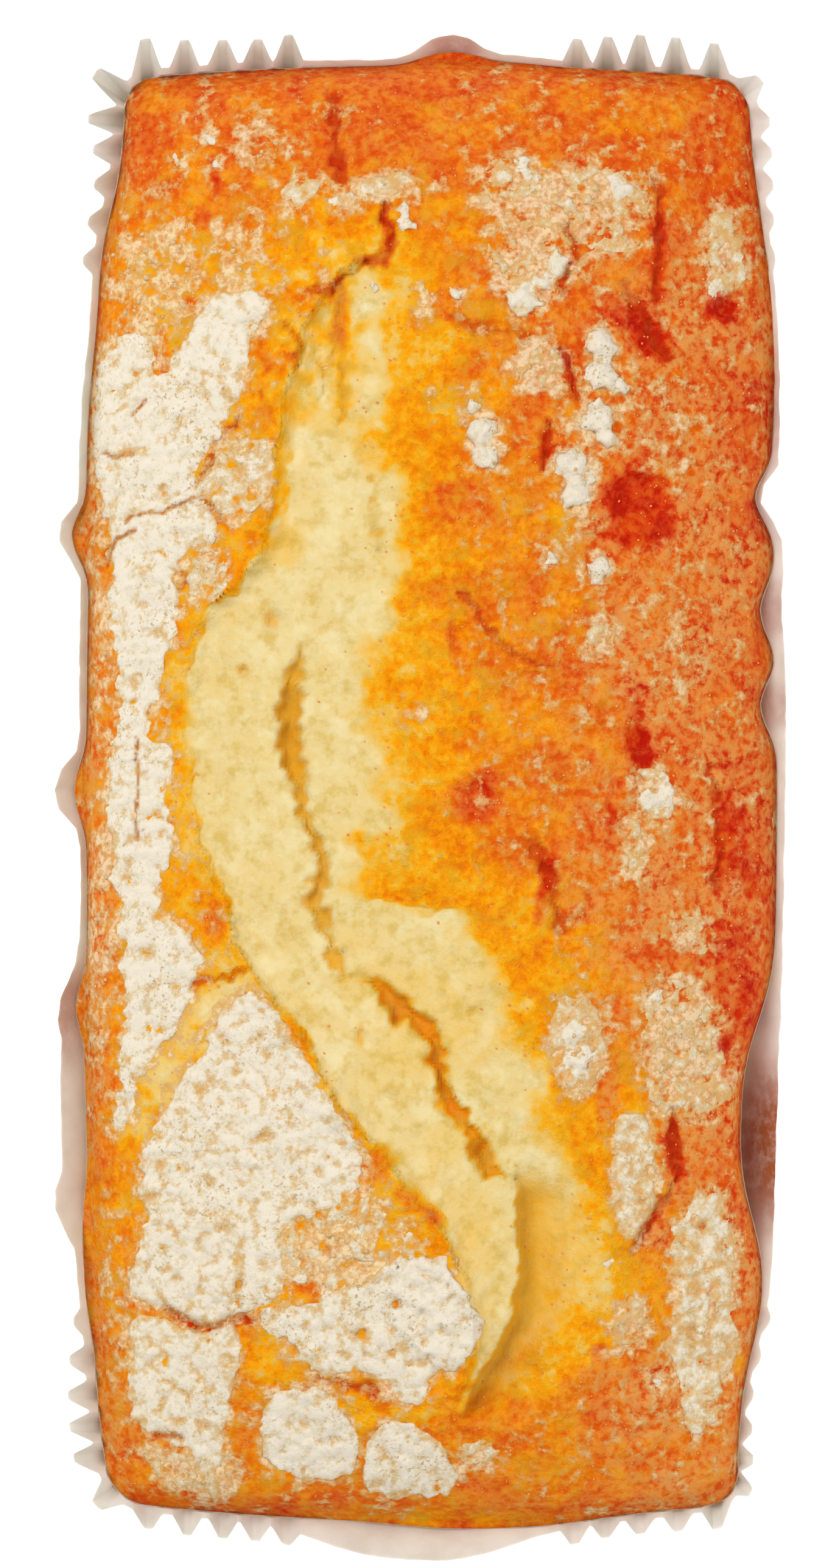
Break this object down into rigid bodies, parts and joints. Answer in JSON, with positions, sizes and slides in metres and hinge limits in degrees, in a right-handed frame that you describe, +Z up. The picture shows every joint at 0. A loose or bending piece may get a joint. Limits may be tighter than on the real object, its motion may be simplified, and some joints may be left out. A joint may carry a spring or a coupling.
{
  "type": "lemon streusel loaf cake",
  "caption": "Small lemon loaf cake with a torn, domed crust and patches of pale streusel, in the pleated paper case that it was baked in.",
  "frame": {"origin": "on the ground, under the middle of the paper case's outermost points", "axes": "+X across the loaf, +Y along it towards the end where the tear is narrow, +Z up through the domed top"},
  "size_m": [0.0968, 0.2016, 0.0665],
  "materials": {
    "cake_crust": "rough, mottled, sugar-specked golden to orange-brown crust with lemon-yellow crumb in its tear",
    "streusel_crust": "dry, crackled, pale cream sheets and lumps",
    "sugar": "small glassy grains",
    "baking_paper": "thin, slightly see-through greaseproof paper with fat stains"
  },
  "bodies": {
    "root": {"cake": "cake_crust", "paper_case": "baking_paper"}
  },
  "joints": []
}
